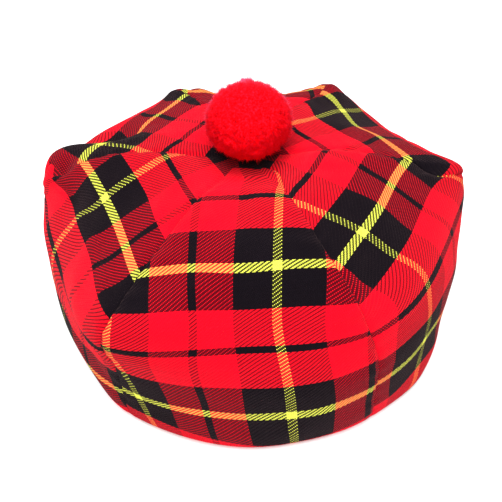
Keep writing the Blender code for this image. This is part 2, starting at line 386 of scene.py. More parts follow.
@dataclass(frozen=True)
class CheckedWool:
    """Wool twill in a mirrored check.

    The cloth map's u counts setts across the gore, and v setts along it; both are 0 on a yellow line. From a
    yellow line outwards come half the yellow, black, red, and half a narrow black line, and then the same
    back again. Each yarn that runs across the gore floats over two or three of the upright ones, and each
    steps on by one from the last, which draws the twill's slanting lines.
    """

    name: str
    yellow_until: float = 0.0262  # in setts, from the yellow line's middle
    black_until: float = 0.2370
    red_until: float = 0.4745
    upright_yarns: float = 120.0  # to the sett
    crossing_yarns: float = 172.0
    repeat: float = 4.0  # yarns to one slanting line
    depth: float = 0.00030  # of the grooves between yarns
    upright_height: float = 0.8  # of the height of a yarn that runs across
    lit_height: float = 0.6  # a yarn is in full light from this height up
    groove_shade: float = 0.62  # brightness at the bottom of a groove
    yarn_shades: tuple[float, float] = (0.92, 1.08)  # brightness of the darkest and the palest yarn
    fibres: float = 2600.0  # to the metre
    fibre_shades: tuple[float, float] = (0.90, 1.20)
    fibre_relief: float = 0.5  # of a yarn's height
    clouds: float = 60.0  # soft patches to the metre
    cloud_shades: tuple[float, float] = (0.94, 1.06)
    gloss: Gloss = Gloss(0.9, 0.06, 0.09, 0.4, (1.0, 0.68, 0.68))

    def lot(self, graph: Graph, yarn: Socket, yarns: float) -> tuple[Socket, ...]:
        """The dye lot of a yarn, from its place in the sett.

        Args:
            graph: where the nodes go.
            yarn: the yarn's number, counted off a yellow line.
            yarns: how many there are to the sett.

        Returns:
            Its colour, its width, its float share, its fluff and its stain.
        """
        place = graph.math("DIVIDE", graph.math("ADD", yarn, 0.5), yarns)
        from_line = graph.math("MULTIPLY", graph.math("PINGPONG", place, 0.5), 2.0)
        starts = [0.0, self.yellow_until * 2, self.black_until * 2, self.red_until * 2]
        lots = [Yarn.YELLOW.value, Yarn.BLACK.value, Yarn.RED.value, Yarn.BLACK.value]
        colour = graph.steps(from_line, starts, [lot.colour for lot in lots])
        lie = graph.steps(from_line, starts, [(lot.width, lot.float_share, lot.fluff) for lot in lots])
        stain = graph.steps(from_line, starts, [lot.stain for lot in lots])
        shade = graph.vary(graph.random(yarn), *self.yarn_shades)
        return graph.multiply(colour, graph.grey(shade)), *graph.split(lie), stain

    def off_middle(self, graph: Graph, place: Socket) -> Socket:
        """How far a place is from the middle of its yarn, as a share of the way to the yarn's side."""
        return graph.math("ABSOLUTE", graph.vary(graph.math("FRACT", place), -1.0, 1.0))

    def roundness(self, graph: Graph, off_middle: Socket) -> Socket:
        """The height of a round yarn: 1 less the square of off_middle."""
        return graph.math("SUBTRACT", 1.0, graph.math("POWER", off_middle, 2.0))

    def material(self) -> bpy.types.Material:
        """Builds the cloth's node tree.

        The phase is the fraction of (place across + number of the crossing yarn) / repeat. Where it is over
        the crossing yarn's float share the upright yarn lies on top, and elsewhere the crossing one, save
        beside a narrow yarn, where the other shows. The brightness follows the yarn's height, times two
        noises.

        Returns:
            The material.
        """
        graph = Graph(self.name)
        u, v, _ = graph.split(graph.add("UVMap", {}, uv_map="cloth"))
        across = graph.math("MULTIPLY", u, self.upright_yarns)
        along = graph.math("MULTIPLY", v, self.crossing_yarns)
        crossing_yarn = graph.math("FLOOR", along)
        upright = self.lot(graph, graph.math("FLOOR", across), self.upright_yarns)
        upright_colour, upright_width, _, upright_fluff, upright_stain = upright
        crossing = self.lot(graph, crossing_yarn, self.crossing_yarns)
        crossing_colour, crossing_width, share, crossing_fluff, crossing_stain = crossing

        step = graph.math("DIVIDE", graph.math("ADD", across, crossing_yarn), self.repeat)
        phase = graph.math("FRACT", step)
        upright_slot = graph.math("GREATER_THAN", phase, share)
        off_crossing = self.off_middle(graph, along)
        off_upright = self.off_middle(graph, across)
        bare_crossing = graph.math("GREATER_THAN", off_crossing, crossing_width)
        bare_upright = graph.math("GREATER_THAN", off_upright, upright_width)
        bare = graph.choose(upright_slot, bare_crossing, bare_upright)
        upright_shows = graph.math("ABSOLUTE", graph.math("SUBTRACT", upright_slot, bare))

        off_float = self.off_middle(graph, graph.math("DIVIDE", phase, share))
        rounds = (self.roundness(graph, off_crossing), self.roundness(graph, off_float))
        crossing_height = graph.math("MULTIPLY", *rounds)
        upright_height = graph.math("MULTIPLY", self.roundness(graph, off_upright), self.upright_height)
        height = graph.choose(upright_slot, crossing_height, upright_height)

        fibres = graph.noise(self.fibres, detail=3.0)
        clouds = graph.noise(self.clouds, detail=2.0)
        light = graph.vary(graph.ease(height, 0.0, self.lit_height), self.groove_shade, 1.0)
        light = graph.math("MULTIPLY", light, graph.vary(fibres, *self.fibre_shades))
        light = graph.math("MULTIPLY", light, graph.vary(clouds, *self.cloud_shades))
        upright_dye = graph.multiply(upright_colour, crossing_stain)
        crossing_dye = graph.multiply(crossing_colour, upright_stain)
        upright_on_top = graph.mix(crossing_fluff, upright_dye, crossing_dye)
        crossing_on_top = graph.mix(upright_fluff, crossing_dye, upright_dye)
        colour = graph.mix(upright_shows, crossing_on_top, upright_on_top)

        relief = graph.math("MULTIPLY_ADD", fibres, self.fibre_relief, height)
        graph.fill(graph.shader, {"Normal": graph.add("Bump", {"Height": relief, "Distance": self.depth})})
        return graph.finish(graph.multiply(colour, graph.grey(light)), self.gloss)


@dataclass(frozen=True)
class PompomPile:
    """Clipped wool pile: painted shade darkens it down between the strands; it is paler, with a soft halo, at
    their tips.
    """

    name: str
    colour: tuple[float, float, float] = (0.97, 0.0008, 0.0050)
    fluff_colour: tuple[float, float, float] = (0.97, 0.0130, 0.0380)  # where it catches more light
    fluff_size: float = 0.0011
    fluff_span: tuple[float, float] = (0.38, 0.72)  # of the noise, from the one colour to the other
    painted_pile_shade: tuple[float, float] = (0.92, 1.0)  # painted shade: brightness at a strand's root and tip, darker down in the pile
    tints: tuple[float, float] = (0.90, 1.10)  # brightness of the darkest and the palest strand
    gloss: Gloss = Gloss(0.92, 0.05, 0.90, 0.30, (1.0, 0.45, 0.80))

    def material(self) -> bpy.types.Material:
        """Builds the pile's node tree: a patchy red, times a painted shade that grows paler up the strand,
        and the strand's own tint.

        Returns:
            The material.
        """
        graph = Graph(self.name)
        # painted shade: darker towards a strand's root, where shade falls in the pile
        shade = graph.vary(graph.attribute("tip"), *self.painted_pile_shade)
        tint = graph.vary(graph.attribute("tint"), *self.tints)
        fluffy = graph.ease(graph.noise(1 / self.fluff_size, detail=3.0), *self.fluff_span)
        wool = graph.mix(fluffy, (*self.colour, 1.0), (*self.fluff_colour, 1.0))
        light = graph.grey(graph.math("MULTIPLY", shade, tint))
        return graph.finish(graph.multiply(wool, light), self.gloss)


@dataclass(frozen=True)
class TablePaper:
    """Plain matt paper."""

    name: str = "table_paper"
    colour: tuple[float, float, float] = (0.97, 0.97, 0.97)
    gloss: Gloss = Gloss(0.9, 0.1)

    def material(self) -> bpy.types.Material:
        """Builds the paper's shader."""
        return Graph(self.name).finish((*self.colour, 1.0), self.gloss)


# ---- The hat's form ----


@dataclass(frozen=True)
class Section:
    """A cross-section of the hat. flatness is 1 where it is a hexagon and 0 where it is round."""

    name: str
    along: float
    radius: float
    height: float
    flatness: float


@dataclass(frozen=True)
class Sag:
    """How the cloth at one azimuth departs from the sections: outwards, upwards, and round in degrees."""

    azimuth: float
    crown_reach: float
    crown_lift: float
    crown_turn: float
    brow_reach: float
    brow_lift: float
    wall_reach: float
    wall_turn: float


@dataclass(frozen=True)
class Fold:
    """A local fold or dent: half_turn degrees by half_length, moved outwards and upwards."""

    name: str
    azimuth: float
    along: float
    half_turn: float
    half_length: float
    outwards: float
    upwards: float


@dataclass(frozen=True)
class SeamPull:
    """A stretch of one seam, half_length either way, that is pulled round by some degrees."""

    seam: float  # its azimuth elsewhere
    along: float
    half_length: float
    degrees: float


@dataclass(frozen=True)
class Slack:
    """Soft waves all over the cloth: waves round the hat, waves to the metre along it, and their height."""

    around: int
    along: float
    height: float
    phase: float


SECTIONS = (
    Section("centre", 0.0010, 0.0010, 0.1012, 1.00),
    Section("pompom seat", 0.0180, 0.0180, 0.1012, 1.00),
    Section("inner line", 0.0508, 0.0453, 0.1052, 1.00),
    Section("crown line", 0.0958, 0.0889, 0.0956, 1.00),
    Section("brow", 0.1408, 0.1285, 0.0728, 0.24),
    Section("crease", 0.1646, 0.1355, 0.0523, 0.07),
    Section("wall", 0.1858, 0.1382, 0.0311, 0.02),
    Section("foot of the wall", 0.2074, 0.1409, 0.0090, 0.00),
    Section("rim", 0.2150, 0.1398, 0.0020, 0.00),
    Section("flat, outside", 0.2210, 0.1345, 0.0000, 0.00),
    Section("flat, inside", 0.2290, 0.1255, 0.0000, 0.00),
    Section("under", 0.2450, 0.1110, 0.0085, 0.00),
    Section("band seam", 0.2740, 0.0948, 0.0310, 0.00),
)
SAGS = (
    Sag(0, -0.0010, 0.0010, -2.0, 0.0075, 0.0035, 0.0015, 0.0),
    Sag(30, -0.0005, 0.0010, 0.0, -0.0020, 0.0000, -0.0005, 0.0),
    Sag(60, 0.0035, -0.0025, -3.3, 0.0040, 0.0025, 0.0000, 0.0),
    Sag(90, -0.0020, -0.0015, 0.0, -0.0015, -0.0020, 0.0000, 0.0),
    Sag(120, -0.0030, 0.0000, -4.1, -0.0010, -0.0005, 0.0000, 0.0),
    Sag(150, -0.0010, -0.0005, -1.8, 0.0025, 0.0010, 0.0000, 0.0),
    Sag(180, 0.0000, 0.0035, -0.7, 0.0008, 0.0020, 0.0017, -0.8),
    Sag(210, -0.0010, -0.0005, 0.0, -0.0051, 0.0015, -0.0042, 5.5),
    Sag(240, 0.0025, -0.0020, -0.7, 0.0105, 0.0040, -0.0004, -1.2),
    Sag(270, -0.0025, -0.0005, -0.5, -0.0120, -0.0065, -0.0010, 1.9),
    Sag(300, -0.0010, 0.0000, -2.7, -0.0045, -0.0075, 0.0034, -1.0),
    Sag(330, -0.0005, 0.0000, -1.0, 0.0010, 0.0000, 0.0013, -0.7),
)
FOLDS = (
    Fold("left ear", 172, 0.1143, 9.0, 0.0144, 0.0128, 0.0050),
    Fold("hollow in front of the left ear", 190, 0.1170, 9.0, 0.0144, -0.0010, -0.0046),
    Fold("tuck under the left ear", 180, 0.1224, 4.5, 0.0144, 0.0037, -0.0061),
    Fold("right ear", 0, 0.1152, 6.0, 0.0144, 0.0080, 0.0005),
    Fold("back left dip", 155, 0.1062, 9.0, 0.0144, -0.0030, -0.0079),
    Fold("back right dip", 28, 0.1035, 12.0, 0.0180, -0.0040, -0.0004),
    Fold("back left knob", 120, 0.1098, 6.0, 0.0126, 0.0019, 0.0030),
    Fold("second back left knob", 111, 0.1080, 5.0, 0.0108, 0.0010, 0.0034),
    Fold("back right knob", 57, 0.1080, 8.0, 0.0126, 0.0030, 0.0042),
    Fold("notch beside the knob", 66, 0.1152, 4.0, 0.0090, -0.0010, -0.0020),
    Fold("back dip", 82, 0.1120, 11.0, 0.0180, -0.0010, -0.0060),
    Fold("valley along the left seam", 178.5, 0.1060, 2.6, 0.0055, -0.0006, -0.0052),
    Fold("crease above the left puff", 184, 0.1115, 7.5, 0.0042, 0.0, -0.0030),
    Fold("left puff", 185, 0.1210, 9.0, 0.0070, -0.0002, 0.0012),
    Fold("valley along the right seam", 357, 0.1060, 2.6, 0.0080, -0.0004, -0.0020),
    Fold("left wall pressed in", 195, 0.1650, 8.0, 0.0160, -0.0010, 0.0),
    Fold("rim bulge at the front left", 236, 0.2120, 8.0, 0.0140, 0.0008, 0.0),
    Fold("rim flat at the front right", 302, 0.2120, 7.0, 0.0140, -0.0006, 0.0),
    Fold("rim bulge at the front right", 316, 0.2100, 7.0, 0.0160, 0.0017, 0.0),
    Fold("rim drawn in on the right", 334, 0.2030, 8.0, 0.0180, -0.0021, 0.0),
    Fold("rim bulge at the front", 268, 0.2125, 13.0, 0.0140, 0.0025, 0.0),
    Fold("dip beside the pompom", 72, 0.1270, 3.2, 0.0120, 0.0, -0.0026),
    Fold("top of the back right knob", 61, 0.1020, 2.6, 0.0080, 0.0, 0.0014),
    Fold("dip behind the right ear", 19, 0.1280, 3.2, 0.0100, 0.0, -0.0018),
    Fold("notch between the back left knobs", 115.5, 0.1090, 2.2, 0.0090, 0.0, -0.0016),
)
SEAM_PULLS = (
    SeamPull(180, 0.1150, 0.0065, -4.3),
    SeamPull(0, 0.1135, 0.0130, -4.8),
    SeamPull(300, 0.0240, 0.0120, 18.0),
)
SLACK = (
    Slack(7, 9.0, 0.00040, 0.4),
    Slack(11, -14.0, 0.00030, 2.1),
    Slack(16, 21.0, 0.00022, 4.0),
    Slack(23, -33.0, 0.00014, 1.2),
)


@dataclass(frozen=True)
class HatForm:
    """The outer side of the six gores as one surface, with the sag, folds and slack of worn cloth."""

    crown_axis: tuple[float, float] = (-0.0008, 0.0003)  # the crown's centre, from the rim's centre
    base_centre: tuple[float, float] = (-0.0007, 0.0005)  # the middle of the base, from the rim's centre
    crown_span: tuple[float, float] = (0.0855, 0.0297)  # middle and half-length of the crown's sag
    brow_span: tuple[float, float] = (0.1305, 0.0252)
    wall_start: tuple[float, float] = (0.1575, 0.0063)  # where the wall's reach sets in, and how gently
    turn_span: tuple[float, float] = (0.1260, 0.1845)  # the wall's drift grows along this stretch
    flat: tuple[float, float] = (0.2210, 0.2290)  # this stretch lies on the table
    underside: tuple[float, float] = (0.2290, 0.2650)  # the sag fades out along this stretch
    loose_from: tuple[float, float] = (0.020, 0.060)  # slack and puckers set in along this stretch
    loose_until: tuple[float, float] = (0.195, 0.215)  # and fade out along this one
    seam_depth: float = 0.0011
    seam_width: float = 0.0021
    seam_from: tuple[float, float] = (0.010, 0.030)  # the seams' dip sets in along this stretch
    seam_softens: tuple[float, float] = (0.150, 0.185)  # and loses soft_share of its depth along this one
    soft_share: float = 0.75
    pucker_height: float = 0.00035
    pucker_pitch: float = 0.0105
    pucker_reach: float = 0.0090
    pucker_shift: float = 1.7  # radians, from one seam's puckers to the next one's

    def around(self, name: str, azimuth: np.ndarray) -> np.ndarray:
        """A column of SAGS as a smooth closed curve: the table three times over, read in the middle one.

        Args:
            name: the column.
            azimuth: degrees, of any shape.

        Returns:
            The column's value at each azimuth.
        """
        azimuths = column(SAGS, "azimuth")
        knots = np.concatenate([azimuths - 360, azimuths, azimuths + 360])
        return smooth_curve(knots, np.tile(column(SAGS, name), 3), np.mod(azimuth, 360.0))

    def along_hat(self, name: str, along: np.ndarray) -> np.ndarray:
        """A column of SECTIONS as a smooth curve, read at each distance along the cloth."""
        return smooth_curve(column(SECTIONS, "along"), column(SECTIONS, name), along)

    def from_middle(self, azimuth: np.ndarray) -> np.ndarray:
        """Degrees from the middle of the gore that an azimuth is on, from -30 to 30."""
        return np.mod(azimuth, 2 * HALF_GORE) - HALF_GORE

    def seam_at(self, seam: float, along: np.ndarray) -> np.ndarray:
        """The azimuth of one seam: its own, and for each pull its degrees times a bell.

        Args:
            seam: the seam's own azimuth.
            along: metres from the crown's centre.

        Returns:
            Degrees, at each distance.
        """
        azimuth = seam + np.zeros_like(along)
        for pull in SEAM_PULLS:
            if pull.seam == seam % 360:
                azimuth += pull.degrees * bump(along - pull.along, pull.half_length)
        return azimuth

    def to_seam(self, azimuth: np.ndarray, along: np.ndarray) -> np.ndarray:
        """How far each point is from the nearest seam: the angle between them times the radius.

        Args:
            azimuth: degrees, of any shape.
            along: metres, of the same shape.

        Returns:
            Metres.
        """
        seams = np.stack([self.seam_at(seam, along) for seam in np.arange(0.0, 360.0, 2 * HALF_GORE)])
        apart = np.abs(np.mod(azimuth - seams + 180, 360.0) - 180).min(axis=0)
        return np.radians(apart) * self.along_hat("radius", along)

    def sagged(self, azimuth: np.ndarray, along: np.ndarray) -> np.ndarray:
        """Points of the sagged surface before its seams and slack.

        The section's radius grows towards the seams by flatness times (1 / cos of the angle from the gore's
        middle, less 1), which makes a hexagon where flatness is 1. Sag adds a reach, a lift and a turn,
        weighted by a bell over the crown, a bell over the brow and an S down the wall, and each fold adds a
        product of two bells.

        Args:
            azimuth: degrees, of any shape.
            along: metres, of the same shape.

        Returns:
            Points, with one more axis of length 3.
        """
        straightness = 1 / np.cos(np.radians(self.from_middle(azimuth))) - 1
        crown = bump(along - self.crown_span[0], self.crown_span[1])
        brow = bump(along - self.brow_span[0], self.brow_span[1])
        above = 1 - smooth_step(along, *self.underside)
        wall = above / (1 + np.exp(-(along - self.wall_start[0]) / self.wall_start[1]))
        turning = smooth_step(along, *self.turn_span)

        radius = self.along_hat("radius", along) * (1 + self.along_hat("flatness", along) * straightness)
        radius += crown * self.around("crown_reach", azimuth)
        radius += brow * self.around("brow_reach", azimuth)
        radius += wall * self.around("wall_reach", azimuth)
        height = self.along_hat("height", along)
        height += crown * self.around("crown_lift", azimuth)
        height += brow * self.around("brow_lift", azimuth)
        drift = crown * self.around("crown_turn", azimuth)
        drift += above * turning * self.around("wall_turn", azimuth)
        for fold in FOLDS:
            turn = np.mod(azimuth - fold.azimuth + 180, 360.0) - 180
            amount = bump(turn, fold.half_turn) * bump(along - fold.along, fold.half_length)
            radius += amount * fold.outwards
            height += amount * fold.upwards
        flat = (along >= self.flat[0]) & (along <= self.flat[1])
        height = np.where(flat, 0.0, np.maximum(height, 0.0))

        direction = np.radians(azimuth + drift)
        x = radius * np.cos(direction) + (1 - turning) * self.crown_axis[0] - self.base_centre[0]
        y = radius * np.sin(direction) + (1 - turning) * self.crown_axis[1] - self.base_centre[1]
        return np.stack([x, y, height], axis=-1)

    def normals(self, azimuth: np.ndarray, along: np.ndarray) -> np.ndarray:
        """The direction out of the cloth: the cross product of a short step down it and one across it.

        Args:
            azimuth: degrees, of any shape.
            along: metres, of the same shape.

        Returns:
            Unit vectors, with one more axis of length 3.
        """
        degrees, metres = 1.0, 0.001
        across = self.sagged(azimuth + degrees, along) - self.sagged(azimuth - degrees, along)
        before = np.maximum(along - metres, SECTIONS[0].along)
        down = self.sagged(azimuth, along + metres) - self.sagged(azimuth, before)
        return unit(np.cross(down, across))

    def relief(self, azimuth: np.ndarray, along: np.ndarray) -> np.ndarray:
        """How far the cloth stands off the sagged surface.

        The slack is a sum of sines, each a number of waves round the hat and a number to the metre along it.
        At a seam the cloth dips in a narrow bell, and beside it puckers: a sine along the seam that dies away
        from it. All of it fades out where the hat lies on the table and at the crown's centre.

        Args:
            azimuth: degrees, of any shape.
            along: metres, of the same shape.

        Returns:
            Metres.
        """
        to_seam = self.to_seam(azimuth, along)
        seam = np.mod(np.round(azimuth / (2 * HALF_GORE)), GORES)
        slack = np.zeros_like(along)
        for wave in SLACK:
            turn = np.radians(wave.around * azimuth) + 2 * math.pi * wave.along * along
            slack += wave.height * np.sin(turn + wave.phase)
        pucker = self.pucker_height * np.exp(-to_seam / self.pucker_reach)
        pucker *= np.sin(2 * math.pi * along / self.pucker_pitch + self.pucker_shift * seam)
        dip = self.seam_depth * bump(to_seam, self.seam_width)
        loose = smooth_step(along, *self.loose_from) * (1 - smooth_step(along, *self.loose_until))
        pressed = smooth_step(along, *self.seam_from)
        pressed *= 1 - self.soft_share * smooth_step(along, *self.seam_softens)
        return loose * (slack + pucker) - pressed * dip

    def surface(self, azimuth: np.ndarray, along: np.ndarray) -> tuple[np.ndarray, np.ndarray]:
        """The cloth's face: the sagged surface moved along its normals by the relief, never below the table.

        Args:
            azimuth: degrees, of any shape.
            along: metres, of the same shape.

        Returns:
            The points and the directions out of the cloth, each with one more axis of length 3.
        """
        normals = self.normals(azimuth, along)
        points = self.sagged(azimuth, along) + normals * self.relief(azimuth, along)[..., None]
        points[..., 2] = np.maximum(points[..., 2], 0.0)
        return points, normals


# ---- Pieces ----


@dataclass(frozen=True)
class Cut:
    """How a gore was cut from the checked cloth, and how the cloth has since stretched.

    across and along are how far its check has drifted each way, in millimetres. A row is for a distance from
    the crown's centre, in DRIFT_ROWS, and a number in it for a place across the gore, in DRIFT_COLUMNS.
    """

    node: str
    middle: float  # azimuth in degrees
    yellow_line: float  # from the gore's middle to the yellow line that runs along it, in setts
    across: tuple[tuple[float, ...], ...]
    along: tuple[tuple[float, ...], ...]


MILLIMETRE = 0.001
DRIFT_ROWS = (0.022, 0.045, 0.070, 0.096, 0.124, 0.152, 0.182, 0.212)  # metres
DRIFT_COLUMNS = (-0.72, -0.36, 0.0, 0.36, 0.72)  # setts from the gore's middle
CUTS = (
    Cut("gore_back_right", 30.0, 0.251, (
        (2, 6, 8, 5.5, 2), (3.5, 8.5, 14, 9.5, 2), (4.5, 10.5, 15, 6.5, 1.5), (6, 3, 7, 2, 1.5),
        (11.5, 0, -3, -4.5, 0), (5.5, 0.5, -2.5, -2.5, -0.5), (1.5, 0, -1, -1, -0.5), (-0.5, 0, 0, 0, 0),
    ), (
        (-0.5, 2, 2, 2, 0.5), (-2, 0.5, 8, 4.5, 2), (-1.5, -1.5, 8, 3.5, 4.5), (2.5, 1, -0.5, -0.5, 6),
        (5.5, 5.5, -5.5, -5.5, 1.5), (3.5, 1.5, -2.5, -3, -0.5), (1, 0, -0.5, -1, -0.5), (-0.5, 0, 0, 0, 0),
    )),
    Cut("gore_back", 90.0, 0.05, (
        (0, 0, 0, 0, 0), (2.5, 4, 3, 2, 0.5), (6, 11, 7, 4, 0.5), (7, 11, 6.5, 4, 0.5),
        (6.5, 7.5, 3.5, 2, 0.5), (2.5, 2, 1, 0.5, 0), (0.5, 0, 0, 0, 0), (-0.5, -0.5, -0.5, 0, 0),
    ), (
        (0.5, 1, 1, 1, 1.5), (-1, 2, 4, 6.5, 3), (-3, -2.5, 6, 7, 2), (-4, -5, -1, -3.5, -5),
        (-2.5, -5, -4, -4, -4), (-1, -2, -2.5, -4, -4), (0, -0.5, -1, -1, -1), (0, 0, 0.5, 0.5, 0.5),
    )),
    Cut("gore_back_left", 150.0, 0.29, (
        (-0.5, 1, 3, 1, -0.5), (-3, -4.5, -4, -3.5, -2.5), (-4.5, -10, -6.5, -6, -4.5),
        (-1, -1.5, 0, -8.5, -4), (2.5, 4, 3.5, -2, -2), (1.5, 2.5, 2, 0.5, -0.5), (0.5, 0.5, 0.5, 0.5, 0),
        (0, 0, 0, 0, 0),
    ), (
        (0.5, 0.5, 4, 6, 2), (3, 6, 5, 1.5, -0.5), (4, 7.5, 3.5, 6.5, -1), (-0.5, 3.5, 0, 0, 0),
        (-0.5, 2.5, 1, 1.5, 1), (0, 0.5, 0.5, 0.5, 0.5), (0, 0, 0, 0, 0), (0, 0, 0, 0, 0),
    )),
    Cut("gore_front_left", 210.0, -0.16, (
        (2.5, 7, 9.5, 6.5, 2.5), (3, 5, 3.5, 5.5, 5), (3, 2.5, -0.5, 2, 8), (1.5, 2, -2, 1, 10),
        (1, 1, -2.5, -4.5, 1.5), (2, 2, 3, 3.5, 0), (2, 8, 14, 12, 0), (2, 8.5, 12, 5.5, -7),
    ), (
        (2.5, 6, 6.5, 6, 2), (1.5, 2, -0.5, -1, 0), (1, 1.5, 0.5, -1, -1), (2, 1, -0.5, 0.5, -1.5),
        (7, 1.5, -2.5, 0.5, -1.5), (0.5, -1.5, -6, -9.5, -3.5), (-8, -18, -23, -13, -2),
        (-10, -20, -22, -9, 7),
    )),
    Cut("gore_front", 270.0, 0.198, (
        (0, 0, 0, -4, -0.5), (-1, -1, -1, -2.5, -3.5), (-1.5, -0.5, 0, -1.5, -5.5), (-4, -0.5, 1.5, -1, -7),
        (-2.5, 0, 3, 0, -4), (-1.5, 1.5, 2.5, -0.5, 0.5), (-3, 1, 3.5, -1.5, 1), (-9.5, -3.5, 0, -2.5, -1.5),
    ), (
        (3, 13, 14, 4, 2), (1, 1, 1.5, 1.5, 2.5), (0.5, 2, -0.5, 0.5, 3.5), (0, 2.5, -2.5, 1.5, 4),
        (2, 0.5, -4, -1.5, 0.5), (2, 2, 0.5, 0.5, 6), (-1.5, -0.5, 0, 1, 4.5), (11, 2.5, -4, -4.5, -1.5),
    )),
    Cut("gore_front_right", 330.0, -0.27, (
        (0, -1, -3, 0, 0), (5, 5.5, -0.5, 0, 0.5), (6, 3.5, -0.5, -0.5, 2), (6.5, 0, -4, 2, 5),
        (4.5, -5, -5, 1.5, 6.5), (14, 0, 2.5, 4.5, 4.5), (18.5, 9.5, 10, 5, 1.5), (19.5, 21.5, 15, 5.5, -0.5),
    ), (
        (2.5, 6.5, 7.5, 11, 4), (1, 1, 0.5, 2, 1.5), (0, 0.5, 0, 1.5, 1), (0.5, 0.5, 0, 2, 2.5),
        (-2, 0, 1, 4, 1.5), (3, -2, 1.5, 1.5, 0), (7.5, 9.5, 0.5, -0.5, -0.5), (6, 17, 11, 3, -1),
    )),
)


@dataclass
class Gore:
    """One gore: checked wool from the crown's centre over the rim and in under the hat to the headband."""

    cut: Cut
    form: HatForm
    wool: CheckedWool
    rows: int = 230
    columns: int = 110  # an even number
    seam_gap: float = 0.00010
    crown_line: float = 0.0958  # from the crown's centre to the yellow line that runs across the crown
    flat_width: float = 0.148
    flat_length: float = 0.274
    allowance: float = 0.0011  # the folded seam allowances, on the inside
    allowance_width: float = 0.0090
    allowance_edge: float = 0.9  # of its width, from where it thins out
    allowance_from: tuple[float, float] = (0.020, 0.030)  # it sets in along this stretch

    def grid(self) -> tuple[np.ndarray, np.ndarray]:
        """The gore's points, in even steps from seam to seam and from end to end.

        Returns:
            Their azimuths and their distances along the cloth, each of shape (rows, columns).
        """
        along = np.linspace(SECTIONS[0].along, SECTIONS[-1].along, self.rows)
        inset = np.degrees(self.seam_gap / 2 / self.form.along_hat("radius", along))
        inset = np.minimum(inset, HALF_GORE / 2)
        low = self.form.seam_at(self.cut.middle - HALF_GORE, along) + inset
        high = self.form.seam_at(self.cut.middle + HALF_GORE, along) - inset
        azimuth = low[:, None] + np.linspace(0.0, 1.0, self.columns) * (high - low)[:, None]
        return azimuth, np.repeat(along[:, None], self.columns, axis=1)

    def cloth_map(self, points: np.ndarray, along: np.ndarray) -> np.ndarray:
        """The cloth coordinates of a grid of points, in setts from its yellow lines.

        u is the length across the gore from its middle, summed over the steps between columns, less the
        yellow line's place. v is the distance along the cloth, less the crown line's. The cut's drift is
        then added to both, read from its tables along smooth curves.

        Args:
            points: of shape (rows, columns, 3).
            along: metres from the crown's centre, of shape (rows, columns).

        Returns:
            u and v, of shape (rows, columns, 2).
        """
        steps = np.linalg.norm(np.diff(points, axis=1), axis=-1)
        across = np.concatenate([np.zeros((len(points), 1)), np.cumsum(steps, axis=1)], axis=1)
        half = self.columns // 2
        across -= across[:, half - 1 : half + 1].mean(axis=1, keepdims=True)
        uv = np.stack([across / SETT - self.cut.yellow_line, (along - self.crown_line) / SETT], axis=-1)
        down = knot_weights(np.array(DRIFT_ROWS), along)
        over = knot_weights(np.array(DRIFT_COLUMNS), across / SETT)
        tables = np.array([self.cut.across, self.cut.along]) * MILLIMETRE / SETT
        return uv + np.einsum("rci,tij,rcj->rct", down, tables, over)

    def mesh(self) -> tuple[bpy.types.Mesh, float]:
        """The gore as a thin wall, thicker on the inside by its seam allowances.

        The area is summed over the grid's cells, each the length of the cross product of its two steps.

        Returns:
            The mesh, and its area in square metres.
        """
        azimuth, along = self.grid()
        outer, normals = self.form.surface(azimuth, along)
        to_seam = self.form.to_seam(azimuth, along)
        folded = 1 - smooth_step(to_seam, self.allowance_width * self.allowance_edge, self.allowance_width)
        folded *= smooth_step(along, *self.allowance_from)
        inner = outer - normals * (CLOTH + self.allowance * folded)[..., None]
        cells = np.cross(np.diff(outer, axis=0)[:, :-1], np.diff(outer, axis=1)[:-1])
        area = float(np.linalg.norm(cells, axis=-1).sum())
        return shell_mesh(f"{self.cut.node}_cloth", outer, inner, self.cloth_map(outer, along)), area

    def build(self) -> bpy.types.Object:
        """Adds the gore.

        Returns:
            The piece.
        """
        mesh, area = self.mesh()
        piece = add_piece(mesh, self.wool.material(), self.cut.node)
        return piece


@dataclass
class Headband:
    """The band round the head opening: one strip of the same wool, folded double."""

    form: HatForm
    wool: CheckedWool
    inside: float = 0.0920
    thickness: float = 0.0025
    height: float = 0.0360
    columns: int = 480
    corner_steps: int = 6
    face_steps: int = 24
    check_shift: float = 0.3  # setts, from a yellow line to the band's foot

    def profile(self) -> np.ndarray:
        """Offsets outwards and heights round the folded strip: two straight faces and two half-round folds.

        Returns:
            Points of shape (steps, 2), closed, running up the outer face and down the inner one.
        """
        radius = self.thickness / 2
        turn = np.linspace(0, math.pi, self.corner_steps + 1)
        rise = np.linspace(radius, self.height - radius, self.face_steps)
        outer_face = np.stack([np.full_like(rise, self.thickness), rise], axis=-1)
        inner_face = np.stack([np.zeros_like(rise), rise[::-1]], axis=-1)
        fold = radius * np.stack([np.cos(turn), np.sin(turn)], axis=-1)
        top = [radius, self.height - radius] + fold
        foot = [radius, radius] - fold
        return np.concatenate([outer_face[:-1], top[:-1], inner_face[:-1], foot[:-1]])

    def build(self) -> bpy.types.Object:
        """Adds the band: its profile carried round the head opening, with the check running round it.

        Returns:
            The piece.
        """
        out, up = self.profile().T
        turn = np.linspace(0, 2 * math.pi, self.columns, endpoint=False)[:, None]
        x = (self.inside + out) * np.cos(turn) - self.form.base_centre[0]
        y = (self.inside + out) * np.sin(turn) - self.form.base_centre[1]
        z = np.broadcast_to(up, x.shape)
        grid = np.pad(np.arange(x.size).reshape(x.shape), ((0, 1), (0, 1)), mode="wrap")
        uv = np.stack([turn * self.inside / SETT + 0 * z, z / SETT + self.check_shift], axis=-1)
        points = np.stack([x, y, z], axis=-1).reshape(-1, 3)
        mesh = mesh_of("headband_cloth", points, quads(grid), uv.reshape(-1, 2))
        piece = add_piece(mesh, self.wool.material(), "headband")
        return piece


@dataclass(frozen=True)
class Locks:
    """The locks of a pompom: the direction of each one's middle, and how much longer than the ball it is."""

    directions: np.ndarray
    lengths: np.ndarray


